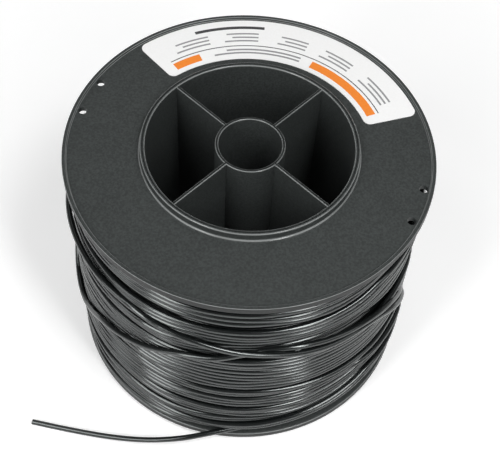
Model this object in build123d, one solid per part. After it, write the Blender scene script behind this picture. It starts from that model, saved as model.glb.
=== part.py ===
from build123d import *
import math
import os

# Spool of trimmer line, standing on one end. Millimetres and degrees.
# +Z is the spool's axis, and the origin is the middle of its lower end.

# Spool moulding
flange_radius = 100.0
plate_thickness = 3.0
rim_width = 2.2
rim_height = 1.5
traverse_width = 144.0
drum_radius = 59.0
drum_wall = 3.0
collar_height = 5.0
collar_root = 1.6
hub_bore_radius = 17.0
hub_wall = 2.0
web_count = 4
web_thickness = 2.0
web_recess = 0.5
web_azimuth = 45.0

# Tie holes, a pair on each side of both flanges
tie_hole_radius = 2.4
tie_inset = 3.2
tie_azimuth = 157.9
tie_spread = 13.5

# Line and its winding
line_diameter = 3.3
winding_fit = 0.3
belly_margin = 1.75
belly_rise = 52.7
belly_droop = 2.2
belly_power = 3.0
bunches = [(13.3, 4), (12.4, 3), (13.9, 3), (8.7, 2), (36.4, 9), (13.2, 3), (18.2, 4), (21.7, 5)]
bunch_groove = 2.6
turn_groove = 1.5
winding_sides = 48
last_turn_margin = 1.1
seat_setback = 2.05
seat_rise = 1.5

# Loose end of the line, from the place where it leaves the last turn
leave_azimuth = -77.0
leave_depth = 2.25
leave_length = 32.0
exit_run = 12.0
tail_route = [
    (-38.0, -104.4, 10.6),
    (-62.0, -102.8, 4.6),
    (-94.5, -97.3, 1.7),
    (-126.2, -90.0, 1.7),
]
corner_share = 0.45
corner_match = 1e-6

# Label
label_collar_gap = 7.0
label_rim_gap = 1.4
label_thickness = 0.3
label_azimuth = 73.2
label_span = 115.0
label_corner = 4.0

# Levels along the axis
lower_face = collar_height
lower_seat = lower_face + plate_thickness
upper_seat = lower_seat + traverse_width
upper_face = upper_seat + plate_thickness
overall_height = upper_face + collar_height

# Radii
rim_bore = flange_radius - rim_width
drum_bore_radius = drum_radius - drum_wall
hub_radius = hub_bore_radius + hub_wall
tie_circle_radius = rim_bore - tie_inset
belly_radius = flange_radius - belly_margin
label_inner_radius = drum_radius + label_collar_gap
label_outer_radius = rim_bore - label_rim_gap

# Winding along the axis
line_radius = line_diameter / 2
winding_bottom = lower_seat
winding_top = upper_seat - winding_fit
first_groove = winding_bottom + seat_rise
last_turn_width = line_diameter + last_turn_margin
bunch_start = first_groove + last_turn_width
belly_level = lower_seat + belly_rise


def spool_section():
    rim_bottom = lower_face - rim_height
    rim_top = upper_face + rim_height
    outline = Polyline(
        (drum_bore_radius, 0),
        (drum_radius, 0),
        (drum_radius, lower_face),
        (rim_bore, lower_face),
        (rim_bore, rim_bottom),
        (flange_radius, rim_bottom),
        (flange_radius, lower_seat),
        (drum_radius, lower_seat),
        (drum_radius, upper_seat),
        (flange_radius, upper_seat),
        (flange_radius, rim_top),
        (rim_bore, rim_top),
        (rim_bore, upper_face),
        (drum_radius, upper_face),
        (drum_radius, overall_height),
        (drum_bore_radius, overall_height),
        close=True,
    )
    section = make_face(outline)
    roots = [v for v in section.vertices()
             if abs(v.X - drum_radius) < corner_match
             and min(abs(v.Y - lower_face), abs(v.Y - upper_face)) < corner_match]
    section = chamfer(roots, collar_root)
    return Plane.XZ * section


def tie_holes():
    drill = Cylinder(tie_hole_radius, overall_height, align=(Align.CENTER, Align.CENTER, Align.MIN))
    holes = []
    for side in (0, 180):
        for offset in (-tie_spread / 2, tie_spread / 2):
            holes.append(Rot(0, 0, tie_azimuth + side + offset) * Pos(tie_circle_radius, 0, 0) * drill)
    return holes


def make_spool():
    body = revolve(spool_section(), Axis.Z)
    inner_height = overall_height - 2 * web_recess
    hub = Cylinder(hub_radius, inner_height) - Cylinder(hub_bore_radius, inner_height)
    web_start = hub_radius - hub_wall / 2
    web_end = drum_bore_radius + drum_wall / 2
    web = Pos((web_start + web_end) / 2, 0, 0) * Box(web_end - web_start, web_thickness, inner_height)
    webs = [Rot(0, 0, web_azimuth + 360 / web_count * i) * web for i in range(web_count)]
    core = Pos(0, 0, overall_height / 2) * (hub + webs)
    return body + core - tie_holes()


def winding_radius(level):
    end = winding_top if level > belly_level else first_groove
    reach = (level - belly_level) / (end - belly_level)
    return belly_radius - belly_droop * abs(reach) ** belly_power


def winding_profile():
    # From the foot up: the last turn alone, then bunches of turns with a deeper groove below each bunch
    foot = winding_radius(first_groove) - seat_setback
    last_turn = (first_groove + bunch_start) / 2
    profile = [(foot, winding_bottom), (foot, first_groove), (winding_radius(last_turn), last_turn)]
    unit = (winding_top - bunch_start) / sum(width for width, turns in bunches)
    lower = bunch_start
    for width, turns in bunches:
        pitch = width * unit / turns
        for turn in range(turns):
            valley = lower + turn * pitch
            crest = valley + pitch / 2
            groove = turn_groove if turn else bunch_groove
            profile.append((winding_radius(valley) - groove, valley))
            profile.append((winding_radius(crest), crest))
        lower += width * unit
    profile.append((winding_radius(winding_top) - bunch_groove, winding_top))
    return profile


def leaving_line():
    # The last turn runs off its circle along a tangent, below the first bunch
    level = first_groove + last_turn_width / 2
    circle = winding_radius(level) - leave_depth
    angle = math.radians(leave_azimuth)
    start = Vector(circle * math.cos(angle), circle * math.sin(angle), level)
    heading = Vector(math.sin(angle), -math.cos(angle), 0)
    return start, heading


def make_winding():
    # Flat faces round the roll, so that all its turns fit in few triangles
    step = 360 / winding_sides
    rings = [[Vector(radius, 0, level).rotate(Axis.Z, step * i) for i in range(winding_sides)]
             for radius, level in winding_profile()]
    faces = [Face(Wire.make_polygon(rings[0])), Face(Wire.make_polygon(rings[-1]))]
    for lower, upper in zip(rings, rings[1:]):
        for i in range(winding_sides):
            faces.append(Face(Wire.make_polygon([lower[i - 1], lower[i], upper[i], upper[i - 1]])))
    bore = Cylinder(drum_radius + winding_fit, overall_height, align=(Align.CENTER, Align.CENTER, Align.MIN))
    roll = Solid(Shell(faces)) - bore
    start, heading = leaving_line()
    stub = extrude(Plane(start, z_dir=heading) * Circle(line_radius), leave_length)
    return roll + stub


def make_tail():
    start, heading = leaving_line()
    points = [start + heading * leave_length, start + heading * (leave_length + exit_run)]
    points += [Vector(*point) for point in tail_route]
    radii = []
    for before, corner, after in zip(points, points[1:], points[2:]):
        run = min((corner - before).length, (after - corner).length)
        turn = math.radians((corner - before).get_angle(after - corner))
        radii.append(corner_share * run / math.tan(turn / 2))
    path = FilletPolyline(*points, radius=radii)
    tail = sweep(Plane(path @ 0, z_dir=path % 0) * Circle(line_radius), path=path)
    print("tail start", [round(c, 2) for c in points[0]], "length", round(path.length, 1))
    print("tail runs", [round((b - a).length, 1) for a, b in zip(points, points[1:])])
    print("tail bend radii", [round(r) for r in radii])
    print("tail volume ratio", round(tail.volume / (math.pi * line_radius ** 2 * path.length), 4))
    return tail


def make_label():
    first = label_azimuth - label_span / 2
    outer = CenterArc((0, 0), label_outer_radius, first, label_span)
    inner = CenterArc((0, 0), label_inner_radius, first, label_span)
    sides = [Line(inner @ end, outer @ end) for end in (0, 1)]
    sheet = make_face([outer, inner] + sides)
    sheet = fillet(sheet.vertices(), label_corner)
    return Pos(0, 0, upper_face) * extrude(sheet, label_thickness)


os.makedirs("parts", exist_ok=True)
nodes = {
    "spool": make_spool(),
    "line_winding": make_winding(),
    "line_tail": make_tail(),
    "label": make_label(),
}
for name, solid in nodes.items():
    export_step(solid, f"parts/{name}.step")
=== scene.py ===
import math
import bmesh
import bpy
from mathutils import Matrix, Vector


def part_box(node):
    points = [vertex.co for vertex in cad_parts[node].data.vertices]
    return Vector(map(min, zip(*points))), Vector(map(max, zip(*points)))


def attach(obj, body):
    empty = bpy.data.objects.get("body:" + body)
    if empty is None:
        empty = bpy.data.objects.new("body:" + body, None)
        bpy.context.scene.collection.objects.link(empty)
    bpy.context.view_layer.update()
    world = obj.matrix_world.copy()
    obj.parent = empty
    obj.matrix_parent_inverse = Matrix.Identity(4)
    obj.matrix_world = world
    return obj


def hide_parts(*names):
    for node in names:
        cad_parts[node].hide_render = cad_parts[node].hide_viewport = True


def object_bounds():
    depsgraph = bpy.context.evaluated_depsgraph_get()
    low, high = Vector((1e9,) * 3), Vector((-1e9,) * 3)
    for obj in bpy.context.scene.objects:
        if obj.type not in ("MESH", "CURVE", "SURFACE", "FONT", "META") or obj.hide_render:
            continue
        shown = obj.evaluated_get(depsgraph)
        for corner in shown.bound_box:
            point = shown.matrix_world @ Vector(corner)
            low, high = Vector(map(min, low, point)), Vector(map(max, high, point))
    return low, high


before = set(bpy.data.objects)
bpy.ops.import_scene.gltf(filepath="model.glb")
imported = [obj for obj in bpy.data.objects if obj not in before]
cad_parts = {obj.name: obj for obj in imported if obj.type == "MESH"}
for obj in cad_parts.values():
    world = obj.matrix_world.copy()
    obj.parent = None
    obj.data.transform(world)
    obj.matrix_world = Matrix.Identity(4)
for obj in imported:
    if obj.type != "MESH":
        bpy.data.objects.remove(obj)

# Spool of trimmer line, standing on one end. Metres and degrees, +Z along the spool's axis.
cadLow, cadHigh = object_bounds()
scene = bpy.context.scene
scene.view_settings.view_transform = "Standard"


# Small helpers for objects and node trees

def putInScene(obj):
    scene.collection.objects.link(obj)
    return obj


def feed(tree, socket, value):
    if isinstance(value, bpy.types.NodeSocket):
        tree.links.new(value, socket)
    else:
        socket.default_value = value


def addNode(tree, kind, inputs=None, **settings):
    node = tree.nodes.new(kind)
    for key, value in settings.items():
        setattr(node, key, value)
    for key, value in (inputs or {}).items():
        feed(tree, node.inputs[key], value)
    return node


def maths(tree, operation, *values):
    node = addNode(tree, "ShaderNodeMath", operation=operation)
    for socket, value in zip(node.inputs, values):
        feed(tree, socket, value)
    return node.outputs[0]


def mapped(tree, value, fromLow, fromHigh, toLow, toHigh, curve="LINEAR"):
    node = addNode(tree, "ShaderNodeMapRange", interpolation_type=curve)
    for socket, given in zip(node.inputs, (value, fromLow, fromHigh, toLow, toHigh)):
        feed(tree, socket, given)
    return node.outputs[0]


def newGeometryTree(name, floats, integers=(), materials=()):
    tree = bpy.data.node_groups.new(name, "GeometryNodeTree")
    kinds = (("NodeSocketFloat", floats), ("NodeSocketInt", integers), ("NodeSocketMaterial", materials))
    for kind, names in kinds:
        for inputName in names:
            tree.interface.new_socket(name=inputName, in_out="INPUT", socket_type=kind)
    tree.interface.new_socket(name="Geometry", in_out="OUTPUT", socket_type="NodeSocketGeometry")
    given = tree.nodes.new("NodeGroupInput").outputs
    return tree, given, tree.nodes.new("NodeGroupOutput")


def endTree(tree, result, geometry, material):
    whole = addNode(tree, "GeometryNodeRealizeInstances", {"Geometry": geometry}).outputs[0]
    whole = addNode(tree, "GeometryNodeSetMaterial", {"Geometry": whole, "Material": material}).outputs[0]
    feed(tree, result.inputs["Geometry"], whole)


def evaluatedMesh(obj):
    return bpy.data.meshes.new_from_object(obj.evaluated_get(bpy.context.evaluated_depsgraph_get()))


def meshFromTree(name, tree, values):
    carrier = putInScene(bpy.data.objects.new(name + "Carrier", bpy.data.meshes.new(name + "Carrier")))
    modifier = carrier.modifiers.new("build", "NODES")
    modifier.node_group = tree
    identifiers = {item.name: item.identifier for item in tree.interface.items_tree if item.in_out == "INPUT"}
    for key, value in values.items():
        modifier[identifiers[key]] = value
    mesh = evaluatedMesh(carrier)
    mesh.name = name
    bpy.data.objects.remove(carrier)
    return mesh


def paint(mesh, material):
    mesh.materials.clear()
    mesh.materials.append(material)


def dress(obj, slotName, *nodes):
    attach(obj, "root")
    if nodes:
        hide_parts(*nodes)
    return obj


# Materials. Most of a noise's values lie in this range
noiseRange = (0.3, 0.7)


def newMaterial(name):
    material = bpy.data.materials.new(name)
    material.use_nodes = True
    tree = material.node_tree
    return material, tree, tree.nodes["Principled BSDF"]


def objectNoise(tree, scale, detail):
    where = addNode(tree, "ShaderNodeTexCoord").outputs["Object"]
    noise = addNode(tree, "ShaderNodeTexNoise", {"Vector": where, "Scale": scale, "Detail": detail})
    return noise.outputs[0]


def colourBetween(tree, factor, first, second):
    ramp = addNode(tree, "ShaderNodeValToRGB", {"Fac": factor})
    ramp.color_ramp.elements[0].color = (*first, 1)
    ramp.color_ramp.elements[1].color = (*second, 1)
    return ramp.outputs[0]


def bumpFrom(tree, height, strength, distance):
    bump = addNode(tree, "ShaderNodeBump", {"Height": height, "Strength": strength, "Distance": distance})
    return bump.outputs[0]


plasticLook = {
    "dark": (0.024, 0.0270, 0.0263),
    "pale": (0.047, 0.0528, 0.0515),
    "grainScale": 900,
    "grainDetail": 3,
    "grainLow": 0.36,
    "grainHigh": 0.64,
    "grainShare": 0.7,
    "grainDepth": 0.00012,
    "grainBump": 0.5,
    "cloudScale": 60,
    "cloudDetail": 4,
    "cloudShare": 0.3,
    # painted shade on the flanges' outer walls: from this radius out, the colour falls to this share
    "wallShadeFrom": 0.0988,
    "wallShadeShare": 0.35,
    # painted highlight colour on the rounded edges
    "edge": (0.22, 0.230, 0.228),
    "edgeFrom": 0.10,
    "edgeFull": 0.22,
    "edgeLeast": 0.75,
    "matte": 0.50,
    "polished": 0.08,
    "roughSpread": 0.1,
    "shine": 0.30,
}


def spoolPlastic():
    look = plasticLook
    material, tree, shader = newMaterial("spoolPlastic")
    grain = objectNoise(tree, look["grainScale"], look["grainDetail"])
    cloud = objectNoise(tree, look["cloudScale"], look["cloudDetail"])
    speckle = mapped(tree, grain, look["grainLow"], look["grainHigh"], 0.0, look["grainShare"])
    speckle = maths(tree, "MULTIPLY_ADD", cloud, look["cloudShare"], speckle)
    grained = colourBetween(tree, speckle, look["dark"], look["pale"])

    # Painted shade: the flanges' outer walls are painted darker than their faces
    where = addNode(tree, "ShaderNodeTexCoord").outputs["Object"]
    flat = addNode(tree, "ShaderNodeVectorMath", {0: where, 1: (1, 1, 0)}, operation="MULTIPLY").outputs[0]
    fromAxis = addNode(tree, "ShaderNodeVectorMath", {0: flat}, operation="LENGTH").outputs["Value"]
    paintedWallShade = mapped(tree, fromAxis, look["wallShadeFrom"], spoolShape["flangeRadius"], 1.0, look["wallShadeShare"],
                    "SMOOTHSTEP")
    shaded = addNode(tree, "ShaderNodeVectorMath", {0: grained, "Scale": paintedWallShade}, operation="SCALE")

    # Painted highlight: rounded edges are painted paler, and made smoother, than the grained faces
    facing = addNode(tree, "ShaderNodeTexCoord").outputs["Normal"]
    upward = addNode(tree, "ShaderNodeSeparateXYZ", {0: facing}).outputs["Z"]
    upward = maths(tree, "MULTIPLY", upward, upward)
    slant = maths(tree, "MULTIPLY", upward, maths(tree, "SUBTRACT", 1, upward))
    rounded = mapped(tree, slant, look["edgeFrom"], look["edgeFull"], 0.0, 1.0, "SMOOTHSTEP")
    paintedHighlightAndPolish = maths(tree, "MULTIPLY", rounded, mapped(tree, cloud, *noiseRange, look["edgeLeast"], 1.0))
    colour = addNode(tree, "ShaderNodeMix", data_type="RGBA")
    feed(tree, colour.inputs["Factor"], paintedHighlightAndPolish)
    feed(tree, colour.inputs[6], shaded.outputs[0])
    feed(tree, colour.inputs[7], (*look["edge"], 1))
    feed(tree, shader.inputs["Base Color"], colour.outputs[2])
    rubbed = mapped(tree, paintedHighlightAndPolish, 0.0, 1.0, look["matte"], look["polished"])
    rubbed = maths(tree, "SUBTRACT", rubbed, look["roughSpread"] / 2)
    feed(tree, shader.inputs["Roughness"], maths(tree, "MULTIPLY_ADD", cloud, look["roughSpread"], rubbed))
    feed(tree, shader.inputs["Normal"], bumpFrom(tree, grain, look["grainBump"], look["grainDepth"]))
    shader.inputs["Specular IOR Level"].default_value = look["shine"]
    return material


nylonLook = {
    "dark": (0.005, 0.0060, 0.0060),
    "pale": (0.010, 0.0115, 0.0116),
    "streaksPerTurn": 9,
    "scuffScale": 700,
    "scuffDetail": 3,
    "scuffDepth": 0.00004,
    "scuffBump": 0.25,
    "smooth": 0.13,
    "rough": 0.20,
    "shine": 0.78,
    "tint": (0.95, 1.0, 0.99),
}


def nylonLine():
    look = nylonLook
    material, tree, shader = newMaterial("nylonLine")
    along = addNode(tree, "ShaderNodeAttribute", attribute_name="alongLine").outputs["Fac"]
    noise = addNode(tree, "ShaderNodeTexNoise", noise_dimensions="1D")
    feed(tree, noise.inputs["W"], along)
    feed(tree, noise.inputs["Scale"], look["streaksPerTurn"])
    streak = noise.outputs[0]
    scuff = objectNoise(tree, look["scuffScale"], look["scuffDetail"])
    feed(tree, shader.inputs["Base Color"], colourBetween(tree, streak, look["dark"], look["pale"]))
    feed(tree, shader.inputs["Roughness"], mapped(tree, streak, *noiseRange, look["smooth"], look["rough"]))
    feed(tree, shader.inputs["Normal"], bumpFrom(tree, scuff, look["scuffBump"], look["scuffDepth"]))
    shader.inputs["Specular IOR Level"].default_value = look["shine"]
    shader.inputs["Specular Tint"].default_value = (*look["tint"], 1)
    return material


paperLook = {
    "dark": (0.83, 0.83, 0.82),
    "pale": (0.90, 0.90, 0.90),
    "fibreScale": 900,
    "fibreDetail": 4,
    "fibreDepth": 0.00003,
    "fibreBump": 0.2,
    "smooth": 0.42,
    "rough": 0.52,
    "inkSmooth": 0.40,
    "inkRough": 0.50,
}


def labelPaper():
    look = paperLook
    material, tree, shader = newMaterial("labelPaper")
    fibre = objectNoise(tree, look["fibreScale"], look["fibreDetail"])
    feed(tree, shader.inputs["Base Color"], colourBetween(tree, fibre, look["dark"], look["pale"]))
    feed(tree, shader.inputs["Roughness"], mapped(tree, fibre, *noiseRange, look["smooth"], look["rough"]))
    feed(tree, shader.inputs["Normal"], bumpFrom(tree, fibre, look["fibreBump"], look["fibreDepth"]))
    return material


def labelInk(name, dark, pale):
    look = paperLook
    material, tree, shader = newMaterial(name)
    fibre = objectNoise(tree, look["fibreScale"], look["fibreDetail"])
    feed(tree, shader.inputs["Base Color"], colourBetween(tree, fibre, dark, pale))
    rough = mapped(tree, fibre, *noiseRange, look["inkSmooth"], look["inkRough"])
    feed(tree, shader.inputs["Roughness"], rough)
    return material


# Camera, at the photograph's view
cameraView = {
    "distance": 0.35092,
    "height": 0.59063,
    "pitch": 55.310,
    "yaw": 0.459,
    "roll": 3.968,
    "objectTurn": -3.4,
    "lens": 74.95,
    "sensor": 36.0,
}


def makeCamera():
    pitch, yaw, roll = (math.radians(cameraView[key]) for key in ("pitch", "yaw", "roll"))
    turn = Matrix.Rotation(math.radians(cameraView["objectTurn"]), 4, "Z")
    forward = Vector((math.sin(yaw) * math.cos(pitch), math.cos(yaw) * math.cos(pitch), -math.sin(pitch)))
    level = Vector((math.cos(yaw), -math.sin(yaw), 0))
    upright = level.cross(forward)
    right = level * math.cos(roll) + upright * math.sin(roll)
    up = upright * math.cos(roll) - level * math.sin(roll)
    lensData = bpy.data.cameras.new("camera")
    lensData.sensor_fit = "HORIZONTAL"
    lensData.sensor_width = cameraView["sensor"]
    lensData.lens = cameraView["lens"]
    camera = putInScene(bpy.data.objects.new("camera", lensData))
    axes = Matrix((right, up, -forward)).transposed().to_4x4()
    place = Matrix.Translation((0, -cameraView["distance"], cameraView["height"]))
    camera.matrix_world = turn @ place @ axes
    scene.camera = camera


makeCamera()
print("camera set")


# Loose end of the line, from the end of the winding's stub to its cut end on the floor
looseEnd = {
    "diameter": 0.0033,
    "length": 0.1188,
    "route": [
        (-0.01002, -0.09886, 0.01170),
        (-0.02171, -0.10156, 0.01170),
        (-0.0380, -0.1044, 0.0106),
        (-0.0620, -0.1028, 0.0046),
        (-0.0945, -0.0973, 0.0017),
        (-0.1262, -0.0900, 0.0017),
    ],
    "order": 3,
    "steps": 12,
    "sides": 4,
}


def makeLooseEnd(material):
    route = looseEnd["route"]
    curve = bpy.data.curves.new("lineTail", "CURVE")
    curve.dimensions = "3D"
    spline = curve.splines.new("NURBS")
    spline.points.add(len(route) - 1)
    for point, place in zip(spline.points, route):
        point.co = (*place, 1)
    spline.order_u = looseEnd["order"]
    spline.use_endpoint_u = True
    spline.resolution_u = looseEnd["steps"]
    curve.bevel_depth = looseEnd["diameter"] / 2
    curve.bevel_resolution = looseEnd["sides"]
    curve.use_fill_caps = True
    curve.materials.append(material)
    tail = putInScene(bpy.data.objects.new("lineTail", curve))
    return dress(tail, "nylon_line", "line_tail")


lineMaterial = nylonLine()
makeLooseEnd(lineMaterial)
print("loose end made")


# Spool moulding, turned from one section with its corners rounded
spoolShape = {
    "flangeRadius": 0.100,
    "rimBore": 0.0978,
    "rimHeight": 0.0015,
    "plate": 0.003,
    "drumRadius": 0.059,
    "drumBore": 0.056,
    "collarHeight": 0.005,
    "hubBore": 0.017,
    "hubRadius": 0.019,
    "webThickness": 0.002,
    "webRecess": 0.0005,
    "webCount": 4,
    "webAzimuth": 45,
    "edgeRound": 0.0007,
    "outerRound": 0.0012,
    "collarRound": 0.0013,
    "rootRound": 0.0018,
    "webRound": 0.0009,
    "edgeHold": 1.3,
    "tieRadius": 0.0024,
    "tieCircle": 0.0946,
    "tieAzimuth": 157.9,
    "tieSpread": 13.5,
    "tieSegments": 48,
    "tieReach": 1.1,
    "segments": 256,
    "hubSegments": 128,
    "cornerSteps": 4,
    "sharpAngle": 35,
}


def roundCorners(corners, steps):
    points = []
    for index, (radius, level, rounding) in enumerate(corners):
        corner = Vector((radius, level))
        before = Vector(corners[index - 1][:2])
        after = Vector(corners[(index + 1) % len(corners)][:2])
        back, ahead = (before - corner).normalized() * rounding, (after - corner).normalized() * rounding
        start, end = corner + back, corner + ahead
        points.append(corner + back * spoolShape["edgeHold"])  # keeps the flat face before the corner flat
        for step in range(steps + 1):
            t = step / steps
            points.append(start * (1 - t) ** 2 + corner * 2 * t * (1 - t) + end * t ** 2)
        points.append(corner + ahead * spoolShape["edgeHold"])
    return points


def lathe(bm, profile, segments):
    rings = []
    for step in range(segments):
        angle = 2 * math.pi * step / segments
        rings.append([bm.verts.new((p.x * math.cos(angle), p.x * math.sin(angle), p.y)) for p in profile])
    for index, ring in enumerate(rings):
        following = rings[(index + 1) % segments]
        for j in range(len(profile)):
            k = (j + 1) % len(profile)
            bm.faces.new((ring[j], following[j], following[k], ring[k]))


def meshFromBmesh(name, bm):
    bmesh.ops.recalc_face_normals(bm, faces=bm.faces)
    mesh = bpy.data.meshes.new(name)
    bm.to_mesh(mesh)
    bm.free()
    return mesh


def spoolSection():
    s = spoolShape
    top = cadHigh.z
    lowerFace, upperFace = s["collarHeight"], top - s["collarHeight"]
    lowerSeat, upperSeat = lowerFace + s["plate"], upperFace - s["plate"]
    edge, outer, collar, root = s["edgeRound"], s["outerRound"], s["collarRound"], s["rootRound"]
    corners = [
        (s["drumBore"], 0, collar),
        (s["drumRadius"], 0, collar),
        (s["drumRadius"], lowerFace, root),
        (s["rimBore"], lowerFace, edge),
        (s["rimBore"], lowerFace - s["rimHeight"], edge),
        (s["flangeRadius"], lowerFace - s["rimHeight"], edge),
        (s["flangeRadius"], lowerSeat, outer),
        (s["drumRadius"], lowerSeat, root),
        (s["drumRadius"], upperSeat, root),
        (s["flangeRadius"], upperSeat, edge),
        (s["flangeRadius"], upperFace + s["rimHeight"], edge),
        (s["rimBore"], upperFace + s["rimHeight"], edge),
        (s["rimBore"], upperFace, edge),
        (s["drumRadius"], upperFace, root),
        (s["drumRadius"], top, collar),
        (s["drumBore"], top, collar),
    ]
    return roundCorners(corners, s["cornerSteps"])


def tieDrills():
    s = spoolShape
    bm = bmesh.new()
    for side in (0, 180):
        for offset in (-s["tieSpread"] / 2, s["tieSpread"] / 2):
            turn = Matrix.Rotation(math.radians(s["tieAzimuth"] + side + offset), 4, "Z")
            place = turn @ Matrix.Translation((s["tieCircle"], 0, cadHigh.z / 2))
            bmesh.ops.create_cone(bm, cap_ends=True, segments=s["tieSegments"], radius1=s["tieRadius"],
                                  radius2=s["tieRadius"], depth=cadHigh.z * s["tieReach"], matrix=place)
    return putInScene(bpy.data.objects.new("tieDrills", meshFromBmesh("tieDrills", bm)))


def spoolCore():
    s = spoolShape
    bm = bmesh.new()
    low, high = s["webRecess"], cadHigh.z - s["webRecess"]
    edge = s["webRound"]
    tube = [(s["hubBore"], low, edge), (s["hubRadius"], low, edge),
            (s["hubRadius"], high, edge), (s["hubBore"], high, edge)]
    lathe(bm, roundCorners(tube, s["cornerSteps"]), s["hubSegments"])
    half = s["webThickness"] / 2
    section = roundCorners([(-half, low, edge), (half, low, edge), (half, high, edge), (-half, high, edge)],
                           s["cornerSteps"])
    reach = (s["hubRadius"] - half / 2, s["drumBore"] + half / 2)
    for index in range(s["webCount"]):
        turn = Matrix.Rotation(math.radians(s["webAzimuth"] + 360 / s["webCount"] * index), 4, "Z")
        ends = [[bm.verts.new(turn @ Vector((x, p.x, p.y))) for p in section] for x in reach]
        for j in range(len(section)):
            k = (j + 1) % len(section)
            bm.faces.new((ends[0][j], ends[1][j], ends[1][k], ends[0][k]))
        bm.faces.new(ends[0])
        bm.faces.new(ends[1])
    return meshFromBmesh("spoolCore", bm)


def makeSpool(material):
    bm = bmesh.new()
    lathe(bm, spoolSection(), spoolShape["segments"])
    blank = putInScene(bpy.data.objects.new("spoolBlank", meshFromBmesh("spoolBlank", bm)))
    drills = tieDrills()
    cut = blank.modifiers.new("tieHoles", "BOOLEAN")
    cut.operation = "DIFFERENCE"
    cut.solver = "EXACT"
    cut.object = drills
    drilled = evaluatedMesh(blank)
    bpy.data.objects.remove(blank)
    bpy.data.objects.remove(drills)
    whole = bmesh.new()
    whole.from_mesh(drilled)
    whole.from_mesh(spoolCore())
    mesh = bpy.data.meshes.new("spoolMoulding")
    whole.to_mesh(mesh)
    whole.free()
    mesh.shade_smooth()
    mesh.set_sharp_from_angle(angle=math.radians(spoolShape["sharpAngle"]))
    paint(mesh, material)
    return dress(putInScene(bpy.data.objects.new("spoolMoulding", mesh)), "spool_plastic", "spool")


makeSpool(spoolPlastic())
print("spool made")


# Winding: bunches of turns, each a helix between a lower and an upper edge that rise and fall round the spool
windingShape = {
    "lineRadius": 0.00165,
    "pitch": 0.0038,
    "pointsPerTurn": 144,
    "sides": 12,
    "underPoints": 96,
    "underSides": 8,
    "bellyRadius": 0.0992,
    "bellyLevel": 0.0607,
    "bellyDroop": 0.0022,
    "bellyPower": 3,
    "topReach": 0.0910,
    "bottomReach": 0.0512,
    "baseOffset": -0.0026,
    "underOffset": -0.0072,
    "liftLimit": 0.01,
    "pileStep": 0.0027,
    "pileAzimuth": -40,
    "pileFull": 0.45,
    "pileNone": 0.85,
    "bunchInset": 0.0010,
    "driftChange": 0.22,
    "driftScale": 1.6,
    "riseChange": 0.55,
    "riseScale": 2.0,
    "noiseGain": 4,
    "seed": 4,
    "seedStep": 7.3,
}

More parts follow.
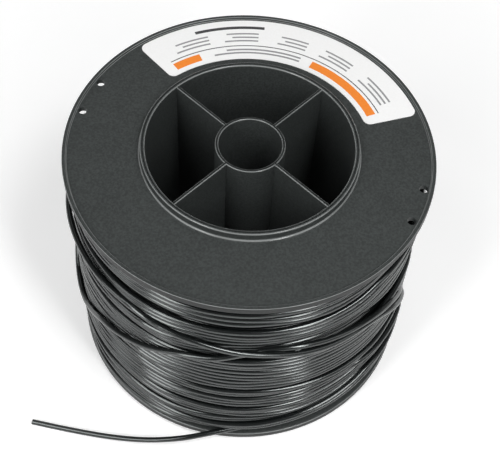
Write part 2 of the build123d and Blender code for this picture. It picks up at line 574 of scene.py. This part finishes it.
# Edges are (azimuth, level) and lifts (azimuth, rise off the base layer), round from the back at -270 to 90
baseBunches = [
    {"turns": 3, "start": 80,
     "low": [(-270, 0.1310), (-150, 0.1335), (-130, 0.1320), (-100, 0.1313), (-70, 0.1315), (-55, 0.1330),
             (-40, 0.1365), (-10, 0.1355), (30, 0.1320)],
     "high": [(-270, 0.1452), (-150, 0.1460), (-100, 0.1452), (-70, 0.1452), (-40, 0.1480), (30, 0.1465)]},
    {"turns": 4, "start": 110,
     "low": [(-270, 0.1115), (-150, 0.1135), (-110, 0.1125), (-95, 0.1128), (-80, 0.1143), (-60, 0.1158),
             (-50, 0.1180), (-40, 0.1210), (-10, 0.1200), (30, 0.1140)],
     "high": [(-270, 0.1280), (-150, 0.1290), (-130, 0.1280), (-100, 0.1278), (-70, 0.1283), (-55, 0.1303),
              (-40, 0.1345), (-10, 0.1335), (30, 0.1295)]},
    {"turns": 3, "start": 60,
     "low": [(-270, 0.0985), (-150, 0.0995), (-110, 0.0983), (-95, 0.0995), (-80, 0.1025), (-60, 0.1030),
             (-40, 0.1035), (-10, 0.1025), (30, 0.0995)],
     "high": [(-270, 0.1100), (-150, 0.1105), (-110, 0.1090), (-95, 0.1100), (-80, 0.1120), (-60, 0.1130),
              (-40, 0.1160), (-10, 0.1150), (30, 0.1110)],
     "lift": [(-270, 0.0), (-125, 0.0), (-105, -0.0014), (-92, -0.0034), (-70, -0.0034), (-55, -0.0027),
              (-40, -0.0024), (-10, -0.0010), (30, 0.0)]},
    {"turns": 9, "start": 95,
     "low": [(-270, 0.0633), (-165, 0.0680), (-150, 0.0675), (-140, 0.0670), (-130, 0.0658), (-120, 0.0642),
             (-110, 0.0634), (-95, 0.0628), (-60, 0.0628), (-30, 0.0635), (30, 0.0633)],
     "high": [(-270, 0.0975), (-165, 0.0990), (-150, 0.0985), (-110, 0.0975), (-80, 0.0975), (-60, 0.0970),
              (-40, 0.0960), (-10, 0.0960), (30, 0.0970)],
     "lift": [(-270, 0.0), (-165, 0.0004), (-110, 0.0)]},
    {"turns": 2, "start": 120,
     "low": [(-270, 0.0540), (-165, 0.0578), (-150, 0.0575), (-130, 0.0560), (-110, 0.0542), (-95, 0.0538),
             (-50, 0.0550), (30, 0.0540)],
     "high": [(-270, 0.0613), (-165, 0.0668), (-150, 0.0665), (-130, 0.0648), (-120, 0.0632), (-110, 0.0624),
              (-95, 0.0616), (-60, 0.0614), (-30, 0.0620), (30, 0.0613)],
     "lift": [(-270, 0.0), (-165, 0.0006), (-110, 0.0)]},
    {"turns": 3, "start": 75,
     "low": [(-270, 0.0405), (-165, 0.0440), (-150, 0.0436), (-130, 0.0420), (-110, 0.0408), (-95, 0.0406),
             (-75, 0.0410), (-60, 0.0420), (-50, 0.0440), (-44, 0.0460), (-30, 0.0465), (-10, 0.0440),
             (30, 0.0410)],
     "high": [(-270, 0.0530), (-165, 0.0568), (-150, 0.0565), (-130, 0.0550), (-110, 0.0534), (-95, 0.0530),
              (-50, 0.0540), (30, 0.0530)],
     "lift": [(-270, 0.0), (-165, 0.0008), (-110, 0.0)]},
    {"turns": 3, "start": 100,
     "low": [(-270, 0.0270), (-165, 0.0312), (-150, 0.0310), (-140, 0.0304), (-130, 0.0288), (-120, 0.0272),
             (-110, 0.0270), (-100, 0.0276), (-80, 0.0272), (-65, 0.0278), (-55, 0.0296), (-48, 0.0318),
             (-42, 0.0345), (-30, 0.0355), (-10, 0.0320), (30, 0.0280)],
     "high": [(-270, 0.0385), (-165, 0.0432), (-150, 0.0428), (-130, 0.0408), (-110, 0.0388), (-95, 0.0384),
              (-75, 0.0388), (-60, 0.0400), (-50, 0.0422), (-44, 0.0444), (-30, 0.0450), (-10, 0.0422),
              (30, 0.0392)],
     "lift": [(-270, 0.0), (-165, 0.0013), (-110, 0.0002), (-60, 0.0)]},
    {"turns": 2, "start": 130, "inset": 0.0002,
     "low": [(-270, 0.0191), (-165, 0.0230), (-150, 0.0228), (-140, 0.0222), (-130, 0.0207), (-120, 0.0192),
             (-110, 0.0190), (-100, 0.0196), (-80, 0.0191), (-65, 0.0198), (-55, 0.0217), (-48, 0.0243),
             (-42, 0.0270), (-30, 0.0282), (-10, 0.0243), (30, 0.0200)],
     "high": [(-270, 0.0265), (-165, 0.0306), (-150, 0.0304), (-140, 0.0298), (-130, 0.0282), (-120, 0.0266),
              (-110, 0.0264), (-100, 0.0270), (-80, 0.0265), (-65, 0.0270), (-55, 0.0288), (-48, 0.0310),
              (-42, 0.0335), (-30, 0.0345), (-10, 0.0312), (30, 0.0274)],
     "lift": [(-270, 0.0005), (-165, 0.0023), (-130, 0.0021), (-105, 0.0012), (-70, 0.0), (30, 0.0)]},
    {"turns": 2, "start": 130, "inset": 0.0,
     "low": [(-270, 0.0122), (-200, 0.0132), (-165, 0.0130), (-150, 0.0128), (-130, 0.0132), (-115, 0.0130),
             (-100, 0.0131), (-90, 0.0138), (-80, 0.0156), (-70, 0.0178), (-60, 0.0203), (-50, 0.0243),
             (-42, 0.0280), (-30, 0.0290), (-10, 0.0220), (30, 0.0130)],
     "high": [(-270, 0.0190), (-165, 0.0226), (-150, 0.0224), (-130, 0.0204), (-115, 0.0198), (-100, 0.0199),
              (-90, 0.0206), (-80, 0.0224), (-70, 0.0246), (-60, 0.0271), (-50, 0.0311), (-42, 0.0348),
              (-30, 0.0358), (-10, 0.0288), (30, 0.0198)],
     "lift": [(-270, 0.0005), (-165, 0.0024), (-130, 0.0027), (-105, 0.0032), (-90, 0.0034), (-60, 0.0034),
              (-30, 0.0036), (-10, 0.0034), (20, 0.0010), (45, 0.0005)]},
    {"turns": 0.48, "start": -97, "tuck": 0.004, "tuckTurns": 0.05,
     "low": [(-270, 0.0098)],
     "lift": [(-270, -0.0035), (-245, -0.0010), (-215, 0.0026), (-200, 0.0030), (30, 0.0030)]},
]

coverBunches = [
    {"turns": 1, "start": 90,
     "low": [(-270, 0.0750), (-240, 0.0950), (-210, 0.1120), (-180, 0.1220), (-160, 0.1235), (-138, 0.1217),
             (-125, 0.1198), (-119, 0.1175), (-107, 0.1153), (-100, 0.1130), (-91, 0.1096), (-85, 0.1075),
             (-78, 0.1050), (-71, 0.1032), (-64, 0.1017), (-57, 0.1007), (-50, 0.0990), (-41, 0.0942),
             (-29, 0.0820), (-20, 0.0700), (-12, 0.0600), (0, 0.0520), (30, 0.0500)],
     "lift": [(-270, 0.0027), (-160, 0.0030), (-90, 0.0029), (-57, 0.0030), (-45, 0.0034), (-33, 0.0046),
              (-28, 0.0040), (-21, 0.0008), (-13, -0.0026), (30, -0.0034), (60, 0.0)]},
    {"turns": 1, "start": 90,
     "low": [(-270, 0.1015), (-240, 0.1000), (-210, 0.0920), (-195, 0.0800), (-185, 0.0680), (-178, 0.0600),
             (-172, 0.0550), (-166, 0.0540), (-160, 0.0565), (-155, 0.0610), (-150, 0.0665), (-142, 0.0755),
             (-132, 0.0822), (-124, 0.0876), (-115, 0.0950), (-110, 0.0980), (-104, 0.0992), (-97, 0.1007),
             (-92, 0.1026), (-88, 0.1044), (-84, 0.1060), (-80, 0.1070), (-75, 0.1072), (-64, 0.1054),
             (-57, 0.1042), (-50, 0.1027), (-41, 0.0978), (-29, 0.0860), (-20, 0.0740), (-12, 0.0640),
             (0, 0.0560), (30, 0.0550)],
     "lift": [(-270, -0.0020), (-240, 0.0010), (-210, 0.0028), (-195, 0.0030), (-170, 0.0031), (-150, 0.0032),
              (-140, 0.0032), (-110, 0.0029), (-103, 0.0026), (-97, 0.0012), (-92, 0.0), (-86, -0.0004),
              (-80, 0.0002), (-75, 0.0009), (-60, 0.0016), (-45, 0.0024), (-32, 0.0022), (-22, 0.0003),
              (-12, -0.0025), (30, -0.0030), (60, -0.0030)]},
]

underBunches = [
    {"turns": 44.5, "start": 90, "inset": 0.0, "tuck": 0.0, "low": [(-270, 0.0098)], "high": [(-270, 0.1502)],
     "lift": [(-270, windingShape["underOffset"] - windingShape["baseOffset"])]},
]

bunchFloats = (
    "Turns", "Low", "High", "Lift", "Start Azimuth", "Pile Azimuth", "Pile Step", "Pitch", "Wander", "Float",
    "Tuck", "Tuck Turns", "Seed", "Line Radius", "Base Offset", "Belly Radius", "Belly Level", "Belly Droop",
    "Top Reach", "Bottom Reach",
)
bunchCounts = ("Points Per Turn", "Sides")
bunchPlain = {"Wander": 0.0004, "Float": 0.0006, "Tuck": 0.009, "Tuck Turns": 0.15}


def bunchTree():
    w = windingShape
    tree, given, result = newGeometryTree("lineBunch", bunchFloats, bunchCounts, ("Material",))

    def calc(operation, *values):
        return maths(tree, operation, *values)

    count = calc("ADD", calc("MULTIPLY", given["Turns"], given["Points Per Turn"]), 1)
    row = addNode(tree, "GeometryNodeMeshLine", {"Count": count})
    path = addNode(tree, "GeometryNodeMeshToCurve", {"Mesh": row.outputs[0]}).outputs[0]
    turn = calc("DIVIDE", addNode(tree, "GeometryNodeInputIndex").outputs[0], given["Points Per Turn"])
    angle = calc("SUBTRACT", calc("RADIANS", given["Start Azimuth"]), calc("MULTIPLY", turn, 2 * math.pi))
    share = calc("DIVIDE", turn, given["Turns"])

    # Slow wandering, more alike from turn to turn in level than in height off the layer
    def wander(perTurn, scale, size):
        spot = addNode(tree, "ShaderNodeCombineXYZ", {
            "X": calc("COSINE", angle),
            "Y": calc("SINE", angle),
            "Z": calc("MULTIPLY_ADD", turn, perTurn, calc("MULTIPLY", given["Seed"], w["seedStep"])),
        }).outputs[0]
        noise = addNode(tree, "ShaderNodeTexNoise", {"Vector": spot, "Scale": scale, "Detail": 1.0})
        swing = calc("SUBTRACT", noise.outputs[0], 0.5)
        return calc("MULTIPLY", swing, calc("MULTIPLY", size, w["noiseGain"]))

    drift = wander(w["driftChange"], w["driftScale"], given["Wander"])
    rise = wander(w["riseChange"], w["riseScale"], given["Float"])
    width = calc("SUBTRACT", given["High"], given["Low"])
    level = calc("ADD", calc("MULTIPLY_ADD", width, share, given["Low"]), drift)

    # Belly of the whole winding
    above = calc("SUBTRACT", level, given["Belly Level"])
    reach = calc("MAXIMUM", calc("DIVIDE", above, given["Top Reach"]),
                 calc("DIVIDE", calc("MULTIPLY", above, -1), given["Bottom Reach"]))
    droop = calc("MULTIPLY", given["Belly Droop"], calc("POWER", reach, w["bellyPower"]))
    radius = calc("SUBTRACT", given["Belly Radius"], droop)
    radius = calc("ADD", calc("ADD", radius, given["Base Offset"]), calc("ADD", given["Lift"], rise))

    # Where the edges squeeze the bunch, every other turn climbs on its neighbours
    room = calc("DIVIDE", width, calc("MULTIPLY", given["Turns"], given["Pitch"]))
    squeeze = mapped(tree, room, w["pileFull"], w["pileNone"], 1.0, 0.0, "SMOOTHSTEP")
    atPile = calc("DIVIDE", calc("SUBTRACT", given["Start Azimuth"], given["Pile Azimuth"]), 360)
    climb = calc("COSINE", calc("MULTIPLY", calc("SUBTRACT", turn, atPile), math.pi))
    climb = calc("MULTIPLY_ADD", climb, -0.5, 0.5)
    climb = calc("MULTIPLY", climb, calc("MULTIPLY", given["Pile Step"], squeeze))

    # Both ends dive under the layer, as deep as the bunch's tuck
    toEnd = calc("MINIMUM", turn, calc("SUBTRACT", given["Turns"], turn))
    dive = mapped(tree, toEnd, 0.0, given["Tuck Turns"], 1.0, 0.0, "SMOOTHSTEP")
    radius = calc("SUBTRACT", calc("ADD", radius, climb), calc("MULTIPLY", dive, given["Tuck"]))

    place = addNode(tree, "ShaderNodeCombineXYZ", {
        "X": calc("MULTIPLY", radius, calc("COSINE", angle)),
        "Y": calc("MULTIPLY", radius, calc("SINE", angle)),
        "Z": level,
    }).outputs[0]
    path = addNode(tree, "GeometryNodeSetPosition", {"Geometry": path, "Position": place}).outputs[0]
    path = addNode(tree, "GeometryNodeStoreNamedAttribute",
                   {"Geometry": path, "Name": "alongLine", "Value": turn}, data_type="FLOAT").outputs[0]
    ring = addNode(tree, "GeometryNodeCurvePrimitiveCircle",
                   {"Resolution": given["Sides"], "Radius": given["Line Radius"]}).outputs[0]
    tube = addNode(tree, "GeometryNodeCurveToMesh",
                   {"Curve": path, "Profile Curve": ring, "Fill Caps": True}).outputs[0]
    tube = addNode(tree, "GeometryNodeSetShadeSmooth", {"Geometry": tube, "Shade Smooth": True}).outputs[0]
    endTree(tree, result, tube, given["Material"])
    return tree


def shareRound(azimuth):
    # Share of a full turn, counted from the back, where the lists of places begin
    return (azimuth + 270) / 360


def roundTheSpool(tree, turnShare, places, low, high):
    # A value that follows the given (azimuth, value) places, closed at the back
    node = addNode(tree, "ShaderNodeFloatCurve", {"Value": turnShare})
    points = node.mapping.curves[0].points
    spots = [(shareRound(azimuth), (value - low) / (high - low)) for azimuth, value in places]
    points[0].location = spots[0]
    points[1].location = (1, spots[0][1])
    for spot in spots[1:]:
        points.new(*spot)
    for point in points:
        point.handle_type = "AUTO_CLAMPED"
    node.mapping.update()
    return maths(tree, "MULTIPLY_ADD", node.outputs[0], high - low, low)


def windingTree(name, bunch, bunches, material):
    w = windingShape
    tree, given, result = newGeometryTree(name, ("Line Radius",), bunchCounts)
    joined = addNode(tree, "GeometryNodeJoinGeometry")
    turn = maths(tree, "DIVIDE", addNode(tree, "GeometryNodeInputIndex").outputs[0], given["Points Per Turn"])
    shared = {
        "Belly Radius": w["bellyRadius"], "Belly Level": w["bellyLevel"], "Belly Droop": w["bellyDroop"],
        "Top Reach": w["topReach"], "Bottom Reach": w["bottomReach"], "Base Offset": w["baseOffset"],
        "Pile Azimuth": w["pileAzimuth"], "Pile Step": w["pileStep"], "Pitch": w["pitch"],
        "Line Radius": given["Line Radius"], "Points Per Turn": given["Points Per Turn"],
        "Sides": given["Sides"], "Material": material,
    }
    for index, chosen in enumerate(bunches):
        around = maths(tree, "FRACT", maths(tree, "SUBTRACT", shareRound(chosen["start"]), turn))
        low = roundTheSpool(tree, around, chosen["low"], 0, cadHigh.z)
        high = roundTheSpool(tree, around, chosen.get("high", chosen["low"]), 0, cadHigh.z)
        lift = roundTheSpool(tree, around, chosen.get("lift", [(-270, 0)]), -w["liftLimit"], w["liftLimit"])
        inset = chosen.get("inset", w["bunchInset"] if "high" in chosen else 0)
        low = maths(tree, "ADD", low, inset)
        high = maths(tree, "SUBTRACT", high, inset)
        values = {**bunchPlain, **shared, "Seed": w["seed"] + index, "Turns": chosen["turns"],
                  "Tuck": chosen.get("tuck", bunchPlain["Tuck"]),
                  "Tuck Turns": chosen.get("tuckTurns", bunchPlain["Tuck Turns"]),
                  "Low": low, "High": high, "Lift": lift, "Start Azimuth": chosen["start"]}
        node = addNode(tree, "GeometryNodeGroup", node_tree=bunch)
        for key, value in values.items():
            feed(tree, node.inputs[key], value)
        tree.links.new(node.outputs[0], joined.inputs[0])
    endTree(tree, result, joined.outputs[0], material)
    return tree


def makeWindingPiece(name, bunch, bunches, material, points, sides):
    tree = windingTree(name, bunch, bunches, material)
    values = {"Line Radius": windingShape["lineRadius"], "Points Per Turn": points, "Sides": sides}
    mesh = meshFromTree(name, tree, values)
    print(name, "faces", len(mesh.polygons))
    return dress(putInScene(bpy.data.objects.new(name, mesh)), "nylon_line", "line_winding")


lastTurn = {
    "circle": 0.09407,
    "level": 0.0117,
    "from": 50,
    "leave": -77,
    "tuck": 0.006,
    "tuckShare": 0.5,
    "steps": 60,
    "sides": 4,
}


def makeLastTurn(material):
    # The last turn comes out from under the layer and runs off along a tangent, to where the loose end begins
    t = lastTurn
    curve = bpy.data.curves.new("lineLastTurn", "CURVE")
    curve.dimensions = "3D"
    spline = curve.splines.new("POLY")
    spline.points.add(t["steps"] + 1)
    for step in range(t["steps"] + 1):
        share = step / t["steps"]
        angle = math.radians(t["from"] + (t["leave"] - t["from"]) * share)
        circle = t["circle"] - t["tuck"] * max(0, 1 - share / t["tuckShare"]) ** 2
        spline.points[step].co = (circle * math.cos(angle), circle * math.sin(angle), t["level"], 1)
    spline.points[t["steps"] + 1].co = (*looseEnd["route"][0], 1)
    curve.bevel_depth = looseEnd["diameter"] / 2
    curve.bevel_resolution = t["sides"]
    curve.use_fill_caps = True
    carrier = putInScene(bpy.data.objects.new("lastTurnCarrier", curve))
    mesh = evaluatedMesh(carrier)
    bpy.data.objects.remove(carrier)
    mesh.name = "lineLastTurn"
    paint(mesh, material)
    return dress(putInScene(bpy.data.objects.new("lineLastTurn", mesh)), "nylon_line", "line_winding")


bunch = bunchTree()
makeWindingPiece("lineUnderLayer", bunch, underBunches, lineMaterial,
                 windingShape["underPoints"], windingShape["underSides"])
makeWindingPiece("lineBaseLayer", bunch, baseBunches, lineMaterial,
                 windingShape["pointsPerTurn"], windingShape["sides"])
makeWindingPiece("lineCoverLayer", bunch, coverBunches, lineMaterial,
                 windingShape["pointsPerTurn"], windingShape["sides"])
makeLastTurn(lineMaterial)
print("winding made")


# Label: the paper is the frame's own node, and its print is plain strips of ink
paint(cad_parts["label"].data, labelPaper())

# Strips are (first azimuth, span, inner radius, width)
labelPrint = {
    "thickness": 0.00005,
    "sunk": 0.00002,
    "stepAngle": 2.0,
    "inks": {
        "orange": {"dark": (0.80, 0.20, 0.015), "pale": (0.90, 0.27, 0.03)},
        "dark": {"dark": (0.035, 0.035, 0.037), "pale": (0.06, 0.06, 0.062)},
        "grey": {"dark": (0.22, 0.22, 0.225), "pale": (0.32, 0.32, 0.325)},
    },
    "strips": {
        "orange": [(20.5, 40, 0.0690, 0.0052), (112.5, 13, 0.0690, 0.0052)],
        "dark": [(20.5, 105, 0.0758, 0.0006), (84, 26, 0.0895, 0.0021)],
        "grey": [(66, 40, 0.0700, 0.0012), (66, 34, 0.0725, 0.0012)],
    },
    "columns": [(24, 17), (46, 15), (66, 13), (86, 15), (106, 16)],
    "rules": [(0.0795, 0.92), (0.0823, 0.70), (0.0851, 0.84)],
    "ruleWidth": 0.0011,
}


def stripTree():
    floats = ("Azimuth", "Span", "Radius", "Width", "Level", "Thickness")
    tree, given, result = newGeometryTree("labelStrip", floats, ("Steps",), ("Material",))

    def calc(operation, *values):
        return maths(tree, operation, *values)

    block = addNode(tree, "GeometryNodeMeshCube", {
        "Size": (1, 1, 1),
        "Vertices X": given["Steps"],
        "Vertices Y": 2,
        "Vertices Z": 2,
    }).outputs["Mesh"]
    position = addNode(tree, "GeometryNodeInputPosition").outputs[0]
    spot = addNode(tree, "ShaderNodeSeparateXYZ", {0: position}).outputs
    turn = calc("MULTIPLY", calc("SUBTRACT", 0.5, spot["X"]), given["Span"])
    angle = calc("RADIANS", calc("ADD", given["Azimuth"], turn))
    radius = calc("MULTIPLY_ADD", calc("ADD", spot["Y"], 0.5), given["Width"], given["Radius"])
    place = addNode(tree, "ShaderNodeCombineXYZ", {
        "X": calc("MULTIPLY", radius, calc("COSINE", angle)),
        "Y": calc("MULTIPLY", radius, calc("SINE", angle)),
        "Z": calc("MULTIPLY_ADD", calc("ADD", spot["Z"], 0.5), given["Thickness"], given["Level"]),
    }).outputs[0]
    bent = addNode(tree, "GeometryNodeSetPosition", {"Geometry": block, "Position": place}).outputs[0]
    endTree(tree, result, bent, given["Material"])
    return tree


def makeInk(name, strip, strips, material):
    tree, given, result = newGeometryTree(name, ("Level", "Thickness"))
    joined = addNode(tree, "GeometryNodeJoinGeometry")
    for azimuth, span, radius, width in strips:
        node = addNode(tree, "GeometryNodeGroup", node_tree=strip)
        values = {"Azimuth": azimuth, "Span": span, "Radius": radius, "Width": width, "Level": given["Level"],
                  "Thickness": given["Thickness"], "Steps": 2 + int(span / labelPrint["stepAngle"]),
                  "Material": material}
        for key, value in values.items():
            feed(tree, node.inputs[key], value)
        tree.links.new(node.outputs[0], joined.inputs[0])
    endTree(tree, result, joined.outputs[0], material)
    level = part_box("label")[1].z - labelPrint["sunk"]
    mesh = meshFromTree(name, tree, {"Level": level, "Thickness": labelPrint["thickness"]})
    return dress(putInScene(bpy.data.objects.new(name, mesh)), "label_paper")


def makeLabelPrint():
    strip = stripTree()
    rules = [(azimuth, span * share, radius, labelPrint["ruleWidth"])
             for azimuth, span in labelPrint["columns"] for radius, share in labelPrint["rules"]]
    for ink, colours in labelPrint["inks"].items():
        material = labelInk(ink + "Ink", colours["dark"], colours["pale"])
        strips = labelPrint["strips"][ink] + (rules if ink == "grey" else [])
        makeInk(ink + "Print", strip, strips, material)


makeLabelPrint()
print("label printed")


# Floor, light and background
studio = {
    "floorSize": 24.0,
    "floorDrop": 0.0001,
    "floorColour": (0.88, 0.88, 0.88),
    "floorRoughness": 0.9,
    "glowNear": 0.25,
    "glowFar": 1.00,
    "glowLow": 0.30,
    "glowHigh": 0.90,
    "worldLight": 0.10,
    "horizon": 0.42,
    "horizonLow": 0.22,
    "horizonTop": 0.45,
    "target": (0, 0, 0.08),
    "lampDistance": 1.2,
}

# Lamps stand round the target, at the studio's distance if they give none
lamps = {
    "leftSoftbox": {"azimuth": -132, "elevation": 34, "wide": 0.27, "tall": 1.1, "power": 6.8},
    "leftFill": {"azimuth": -154, "elevation": 32, "wide": 0.25, "tall": 1.0, "power": 1.8},
    "leftLamp": {"azimuth": -154, "elevation": 68, "wide": 0.20, "tall": 0.20, "power": 1.0},
    "rightSoftbox": {"azimuth": -58, "elevation": 48, "wide": 0.17, "tall": 0.8, "power": 5.5},
    "rightLamp": {"azimuth": -43, "elevation": 67, "wide": 0.22, "tall": 0.32, "power": 3.4},
    "sideSoftbox": {"azimuth": -22, "elevation": 44, "wide": 0.30, "tall": 0.9, "power": 1.4},
    "backSoftbox": {"azimuth": 87, "elevation": 55, "wide": 1.4, "tall": 1.0, "power": 2.2, "distance": 1.4},
}


def seenDirectly(tree):
    path = addNode(tree, "ShaderNodeLightPath")
    seen = maths(tree, "MAXIMUM", path.outputs["Is Camera Ray"], path.outputs["Is Glossy Ray"])
    return maths(tree, "MAXIMUM", seen, path.outputs["Is Transmission Ray"])


def makeFloor():
    material, tree, shader = newMaterial("studioFloor")
    shader.inputs["Base Color"].default_value = (*studio["floorColour"], 1)
    shader.inputs["Roughness"].default_value = studio["floorRoughness"]
    shader.inputs["Specular IOR Level"].default_value = 0.0
    shader.inputs["Emission Color"].default_value = (1, 1, 1, 1)
    spot = addNode(tree, "ShaderNodeTexCoord").outputs["Object"]
    away = addNode(tree, "ShaderNodeVectorMath", {0: spot}, operation="LENGTH").outputs["Value"]
    glow = mapped(tree, away, studio["glowNear"], studio["glowFar"], studio["glowLow"], studio["glowHigh"],
                  "SMOOTHSTEP")
    feed(tree, shader.inputs["Emission Strength"], maths(tree, "MULTIPLY", seenDirectly(tree), glow))
    bm = bmesh.new()
    bmesh.ops.create_grid(bm, x_segments=1, y_segments=1, size=studio["floorSize"] / 2)
    bmesh.ops.translate(bm, verts=bm.verts, vec=(0, 0, -studio["floorDrop"]))
    mesh = meshFromBmesh("studioFloor", bm)
    paint(mesh, material)
    putInScene(bpy.data.objects.new("studioFloor", mesh))


def makeWorld():
    world = bpy.data.worlds.new("studioWorld")
    world.use_nodes = True
    scene.world = world
    tree = world.node_tree
    background = tree.nodes["Background"]
    background.inputs["Color"].default_value = (1, 1, 1, 1)
    direction = addNode(tree, "ShaderNodeTexCoord").outputs["Generated"]
    height = addNode(tree, "ShaderNodeSeparateXYZ", {0: direction}).outputs["Z"]
    extra = mapped(tree, height, studio["horizonLow"], studio["horizonTop"],
                   studio["horizon"] - studio["worldLight"], 0.0, "SMOOTHSTEP")
    strength = maths(tree, "MULTIPLY_ADD", seenDirectly(tree), extra, studio["worldLight"])
    feed(tree, background.inputs["Strength"], strength)


def makeLamps():
    target = Vector(studio["target"])
    for name, lamp in lamps.items():
        light = bpy.data.lights.new(name, "AREA")
        light.shape = "RECTANGLE"
        light.size = lamp["wide"]
        light.size_y = lamp["tall"]
        light.energy = lamp["power"]
        azimuth, elevation = math.radians(lamp["azimuth"]), math.radians(lamp["elevation"])
        aim = Vector((math.cos(azimuth) * math.cos(elevation), math.sin(azimuth) * math.cos(elevation),
                      math.sin(elevation)))
        obj = putInScene(bpy.data.objects.new(name, light))
        obj.location = target + aim * lamp.get("distance", studio["lampDistance"])
        obj.rotation_euler = (-aim).to_track_quat("-Z", "Y").to_euler()


makeFloor()
makeWorld()
makeLamps()
print("studio made")
